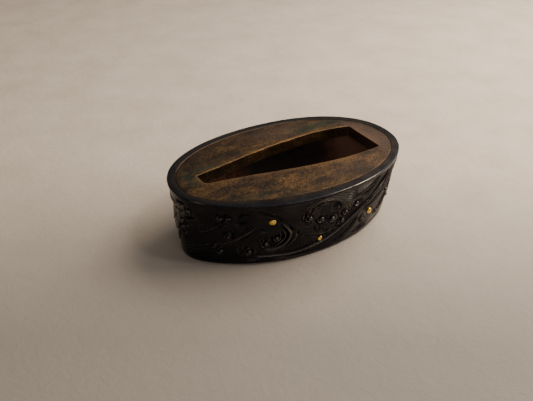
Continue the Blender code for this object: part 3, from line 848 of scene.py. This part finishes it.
def rimAround(hole):
    # for each point of the hole's outline, a point of the plate's oval, as far round in share of length
    turns = np.linspace(0, 2 * pi, plate["fineOutline"] + 1)
    shape = seatShape(plate["gap"])
    length = runAlong(ovalAt(turns, 0, 0, shape, "innerFlat")[:, :2])
    share = runAlong(np.vstack([hole, hole[:1]]))
    start = plate["startAngle"] * length[-1] / (2 * pi)
    angles = np.interp((share[:-1] / share[-1] * length[-1] + start) % length[-1], length, turns)
    return ovalAt(angles, 0, 0, shape, "innerFlat")[:, :2]


def plateTop(flat):
    # faint hollows left by the hammer and the file
    x, y = flat[:, 0], flat[:, 1]
    hammered = 0.008 * np.sin(0.9 * x + 0.5 * y) * np.sin(0.7 * y - 0.3 * x + 1)
    return band["height"] - plate["sunk"] + hammered + 0.005 * np.sin(2.1 * x - 1.7 * y)


def makePlate():
    hole = holeOutline()
    rim = rimAround(hole)
    count, top = len(hole), band["height"]
    under = top - band["plate"]
    out = np.roll(hole, -3, 0) - np.roll(hole, 3, 0)
    out = np.stack([out[:, 1], -out[:, 0]], 1)
    out /= np.linalg.norm(out, axis=1, keepdims=True)
    loops, wears = [], []

    def addLoop(flat, z, wear=0):
        loops.append(np.column_stack([flat, np.broadcast_to(z, count)]))
        wears.append(wear)

    edge, holeRound, holeWear = plate["edgeRound"], plate["holeRound"], plate["holeWear"]
    for turn in np.linspace(0, pi / 2, plate["cornerSteps"]):  # the hole's rubbed upper edge
        flat = hole + out * holeRound * (1 - cos(turn))
        addLoop(flat, plateTop(flat) - holeRound * (1 - sin(turn)), holeWear * sin(turn) ** 0.5)
    startFlat, endFlat = flat, rim - (rim / np.linalg.norm(rim, axis=1, keepdims=True)) * edge
    for mix in np.linspace(0, 1, plate["rings"])[1:]:  # the top
        flat = startFlat * (1 - mix) + endFlat * mix
        addLoop(flat, plateTop(flat), holeWear * (1 - mix) ** 16)
    for turn in np.linspace(0, pi / 2, plate["edgeSteps"])[1:]:  # the outer edge
        flat = endFlat * (1 - sin(turn)) + rim * sin(turn)
        addLoop(flat, plateTop(flat) - edge * (1 - cos(turn)))
    addLoop(rim, under)
    addLoop(hole + out * plate["wallLevels"][0], under)
    for level in plate["wallLevels"]:  # up the hole's filed wall
        addLoop(hole, under + level)
    verts = np.vstack(loops)
    rings = ringNumbers(len(loops), count)
    faces = []
    for here, there in zip(rings, rings[1:] + rings[:1]):
        faces += [tuple(reversed(face)) for face in bridge(here, there)]
    mesh = meshFrom("ceilingPlate", verts, faces, [copper])
    x, y, z = verts.T
    patchy = 0.5 + 0.5 * np.sin(1.3 * x + 0.4) * np.sin(1.9 * y + 0.7 * x)
    addAttribute(mesh, "wear", np.repeat(wears, count) * (0.35 + 0.65 * patchy))

    def spots(name):
        return sum(share * np.clip(1.5 * np.exp(-((x - cx) / rx) ** 2 - ((y - cy) / ry) ** 2), 0, 1)
                   for share, cx, cy, rx, ry in plate[name])

    for name in ("verdigris", "bloom"):
        addAttribute(mesh, name, np.clip(spots(name), 0, 1))
    toRim = np.linalg.norm(verts[:, :2] - np.tile(rim, (len(loops), 1)), axis=1)
    patchy = 0.6 + 0.4 * np.sin(1.1 * x + 2) * np.sin(0.9 * y)
    nearRim = np.exp(-((toRim / plate["rimStain"]) ** 2)) * patchy
    soot = plate["rimSoot"] * nearRim + plate["wallSoot"] * (z < top - 0.3) + spots("soot")
    addAttribute(mesh, "soot", np.clip(soot, 0, 1))
    print("plate:", len(faces), "faces")
    return addPiece("filed_ceiling_plate", mesh, ["ceiling_plate"])


makePlate()


def onWall(angle, z, lift):
    # a point on the carved wall, lifted off it, and the wall's outward direction there
    normal = wallNormal(np.array([angle]), z)[0]
    row = np.abs(rowHeights - z).argmin()
    column = np.abs((columnAngles - angle + pi) % (2 * pi) - pi).argmin()
    return ovalAt(np.array([angle]), z)[0] + normal * (reliefGrid[row, column] + lift), normal


# Gold drops: low domes, a little out of round, with a shallow dent from the punch. Sizes without a
# unit are shares of the drop's radius, and the rest are in mm.
dropForm = {
    "rings": 10, "spokes": 28, "dome": 0.7, "wobble": [(2, 0.05), (3, 0.03)],
    "dent": 0.03, "dentSpread": 0.08, "dentPlace": 0.35,
    "sunkMm": 0.02, "plugMm": 0.35, "tarnish": 0.8, "tarnishedBelowMm": 0.7,
}


def makeDrop(name, degrees, z, across, seed):
    draw = np.random.default_rng(seed)
    centre, normal = onWall(radians(degrees), z, -dropForm["sunkMm"])
    radius, rings, spokes = across / 2, dropForm["rings"], dropForm["spokes"]
    plug = normal * dropForm["plugMm"]
    up = np.array([0, 0, 1.0]) - normal * normal[2]
    up /= np.linalg.norm(up)
    side = np.cross(up, normal)
    spins = np.linspace(0, 2 * pi, spokes, endpoint=False)
    wobble = np.ones(spokes)
    for lobes, share in dropForm["wobble"]:
        wobble += share * np.sin(lobes * spins + draw.uniform(0, 6))
    dentX, dentY = draw.uniform(-dropForm["dentPlace"], dropForm["dentPlace"], 2)
    verts = [centre + normal * radius * dropForm["dome"]]
    for turn in np.linspace(0, pi / 2, rings + 1)[1:]:
        for x, y in np.stack([np.cos(spins), np.sin(spins)], 1) * sin(turn) * wobble[:, None]:
            dent = dropForm["dent"] * np.exp(-((x - dentX) ** 2 + (y - dentY) ** 2) / dropForm["dentSpread"])
            lift = dropForm["dome"] * cos(turn) - dent
            verts.append(centre + radius * (side * x + up * y + normal * lift))
    for spin, size in zip(spins, wobble):
        verts.append(centre + radius * size * (side * cos(spin) + up * sin(spin)) - plug)
    verts.append(centre - plug)
    faces = [(0, 1 + k, 1 + (k + 1) % spokes) for k in range(spokes)]
    for ring in range(rings):
        for k in range(spokes):
            a, b = 1 + ring * spokes + k, 1 + ring * spokes + (k + 1) % spokes
            faces.append((a, a + spokes, b + spokes, b))
    last = 1 + rings * spokes
    faces += [(last + k, len(verts) - 1, last + (k + 1) % spokes) for k in range(spokes)]
    mesh = meshFrom(name + "_form", verts, faces, [gold], 60)
    grimy = across < dropForm["tarnishedBelowMm"]
    addAttribute(mesh, "tarnish", np.full(len(verts), dropForm["tarnish"] if grimy else 0))
    return addPiece(name + "_burnished", mesh, [name])


for number, (name, (degrees, z, across)) in enumerate(drops.items()):
    makeDrop(name, degrees, z, across, 11 + number)
print("gold drops:", len(drops))


# Pearls of foam, set on the waves by Geometry Nodes: a low dome on each point, turned to the wall.
pearlForm = {"segments": 20, "rings": 12, "dome": 0.9, "wear": 0.75}


def pearlPoints():
    verts, normals, radii = [], [], []
    for s, z, radius, isPearl in pearlList():
        if isPearl:
            point, normal = onWall(float(angleAt(s % girth)), z, carving["pearlLift"])
            verts.append(point)
            normals.append(normal)
            radii.append(radius)
    mesh = bpy.data.meshes.new("pearlPoints")
    mesh.from_pydata([tuple(v * mm) for v in verts], [], [])
    facing = mesh.attributes.new("facing", "FLOAT_VECTOR", "POINT")
    facing.data.foreach_set("vector", np.array(normals, dtype=np.float32).ravel())
    addAttribute(mesh, "radius", np.array(radii) * mm)
    return mesh


def makePearls():
    tree = bpy.data.node_groups.new("foamPearls", "GeometryNodeTree")
    tree.interface.new_socket("Geometry", in_out="INPUT", socket_type="NodeSocketGeometry")
    height = tree.interface.new_socket("Dome Height", in_out="INPUT", socket_type="NodeSocketFloat")
    tree.interface.new_socket("Geometry", in_out="OUTPUT", socket_type="NodeSocketGeometry")
    add = partial(addNode, tree)
    start, end = add("NodeGroupInput"), add("NodeGroupOutput")
    ball = add("GeometryNodeMeshUVSphere", {
        "Segments": pearlForm["segments"], "Rings": pearlForm["rings"], "Radius": 1.0})
    facing = add("GeometryNodeInputNamedAttribute", {"Name": "facing"}, data_type="FLOAT_VECTOR")
    size = add("GeometryNodeInputNamedAttribute", {"Name": "radius"}, data_type="FLOAT")
    turn = add("FunctionNodeAlignRotationToVector", {"Vector": facing}, axis="Z")
    flat = add("ShaderNodeMath", {0: size, 1: start.outputs["Dome Height"]}, operation="MULTIPLY")
    scale = add("ShaderNodeCombineXYZ", {"X": size, "Y": size, "Z": flat})
    place = add("GeometryNodeInstanceOnPoints", {
        "Points": start.outputs["Geometry"], "Instance": ball, "Rotation": turn, "Scale": scale})
    real = add("GeometryNodeRealizeInstances", {"Geometry": place})
    smooth = add("GeometryNodeSetShadeSmooth", {"Geometry": real})
    paint = add("GeometryNodeSetMaterial", {"Geometry": smooth, "Material": shakudo})
    tree.links.new(paint.outputs["Geometry"], end.inputs["Geometry"])

    maker = addObject("pearlMaker", pearlPoints())
    modifier = maker.modifiers.new("Pearls", "NODES")
    modifier.node_group = tree
    modifier[height.identifier] = pearlForm["dome"]
    evaluated = maker.evaluated_get(bpy.context.evaluated_depsgraph_get())
    mesh = bpy.data.meshes.new_from_object(evaluated)
    bpy.data.objects.remove(maker)
    mesh.name = "foamPearls"
    for extra in ("facing", "radius"):
        if extra in mesh.attributes:
            mesh.attributes.remove(mesh.attributes[extra])
    addAttribute(mesh, "wear", np.full(len(mesh.vertices), pearlForm["wear"]))
    print("pearls:", len(mesh.polygons), "faces")
    return addPiece("foam_pearls", mesh)


makePearls()

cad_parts["solder_fillet"].data.materials.clear()
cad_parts["solder_fillet"].data.materials.append(solder)

# The table: pale, slightly warm, cloudy paper, with a painted shade along its near side. Sizes in mm.
table = {
    "size": 1200, "colour": [(0.35, "#d4c4b2"), (0.65, "#e3d3c3")], "cloud": 9.0, "fibre": 1.6,
    "fibreMix": 0.3, "thickness": 0.5, "roughness": 0.9,
    # the painted shade fades out, going its way across the paper, up to a line just past the middle
    "nearShadeColour": "#a0978c", "shadeWay": (0.54, 0.84, 0), "shadeTo": 20, "fadeShare": 0.2, "reach": 240,
}


def makeTable():
    mesh = bpy.data.meshes.new("tableTop")
    half = table["size"] * mm / 2
    corners = [(-half, -half, 0), (half, -half, 0), (half, half, 0), (-half, half, 0)]
    mesh.from_pydata(corners, [], [(0, 1, 2, 3)])
    floor = addObject("tableTop", mesh)
    material, add, coords = newMaterial("mulberryPaper", 0.0)
    cloud = add("ShaderNodeTexNoise", {"Vector": coords, "Scale": 1 / (table["cloud"] * mm), "Detail": 5})
    fibre = add("ShaderNodeTexNoise", {
        "Vector": coords, "Scale": 1 / (table["fibre"] * mm), "Detail": 6, "Roughness": 0.6,
        "Distortion": 1.2})
    pulp = add("ShaderNodeMix", {"Factor": table["fibreMix"], "A": cloud, "B": fibre}, data_type="FLOAT")
    fresh = add("ShaderNodeValToRGB", {"Fac": pulp}, table["colour"])
    across = add("ShaderNodeVectorMath", {0: coords, 1: table["shadeWay"]}, operation="DOT_PRODUCT")
    fromNear = add("ShaderNodeMath", {
        0: across.outputs["Value"], 1: 1 / (table["reach"] * mm), 2: 0.5}, operation="MULTIPLY_ADD")
    edge = 0.5 + table["shadeTo"] / table["reach"]
    # a painted shade darkens the paper towards its near side
    dark = add("ShaderNodeValToRGB", {"Fac": fromNear}, [(edge - table["fadeShare"], 1.0), (edge, 0.0)])
    colour = add("ShaderNodeMix", {"Factor": dark, "A": fresh, "B": hexColour(table["nearShadeColour"])},
                 data_type="RGBA")
    bump = add("ShaderNodeBump", {"Height": pulp, "Strength": 0.6, "Distance": table["thickness"] * mm})
    mesh.materials.append(finishMaterial(material, colour, table["roughness"], bump))


makeTable()

# The camera: a 50 mm lens about 120 mm away, from above the front and a little to the edge end.
# Angles are in radians, and lengths in mm.
view = {
    "azimuth": -0.5732, "elevation": 0.5587, "roll": 0.0152,
    "distance": 121.72, "target": (0.525, 6.459, 0.0), "lens": 50, "sensor": 36,
}


def makeCamera():
    azimuth, elevation, roll = view["azimuth"], view["elevation"], view["roll"]
    forward = Vector((-sin(azimuth) * cos(elevation), cos(azimuth) * cos(elevation), -sin(elevation)))
    right = forward.cross(Vector((0, 0, 1))).normalized()
    up = right.cross(forward)
    across = right * cos(roll) + up * sin(roll)
    upward = up * cos(roll) - right * sin(roll)
    data = bpy.data.cameras.new("camera")
    data.lens, data.sensor_width = view["lens"], view["sensor"]
    data.clip_start, data.clip_end = 0.005, 10
    camera = addObject("camera", data)
    place = (Vector(view["target"]) - forward * view["distance"]) * mm
    camera.matrix_world = Matrix((across, upward, -forward)).transposed().to_4x4()
    camera.matrix_world.translation = place
    bpy.context.scene.camera = camera


makeCamera()

# Soft daylight: a window on the right, a weak lamp behind, and a fill from the left front.
# "toward" points from the origin to the lamp, and distances and sizes are in metres.
lamps = {
    "window": {"toward": (1.0, -0.08, 0.95), "away": 0.16, "size": 0.17, "power": 0.49, "colour": "#fff3e4"},
    "back": {"toward": (0.6, 0.8, 0.7), "away": 0.5, "size": 0.34, "power": 0.08, "colour": "#f6f1ea"},
    "fill": {"toward": (-0.35, -0.9, 0.5), "away": 0.5, "size": 0.4, "power": 0.25, "colour": "#fff2e6"},
    "spark": {"toward": (0.35, -0.6, 1.2), "away": 0.35, "size": 0.03, "power": 0.1, "colour": "#ffffff"},
}
room = {"colour": "#bbb6b1", "strength": 0.32}


def makeLights():
    for name, lamp in lamps.items():
        data = bpy.data.lights.new(name, "AREA")
        data.shape, data.size, data.energy = "SQUARE", lamp["size"], lamp["power"]
        data.color = hexColour(lamp["colour"])[:3]
        light = addObject(name, data)
        direction = Vector(lamp["toward"]).normalized()
        light.location = direction * lamp["away"]
        light.rotation_euler = direction.to_track_quat("Z", "Y").to_euler()
    world = bpy.data.worlds.new("room")
    world.use_nodes = True
    background = world.node_tree.nodes["Background"]
    background.inputs["Color"].default_value = hexColour(room["colour"])
    background.inputs["Strength"].default_value = room["strength"]
    bpy.context.scene.world = world


makeLights()
print("table, camera and lights placed")
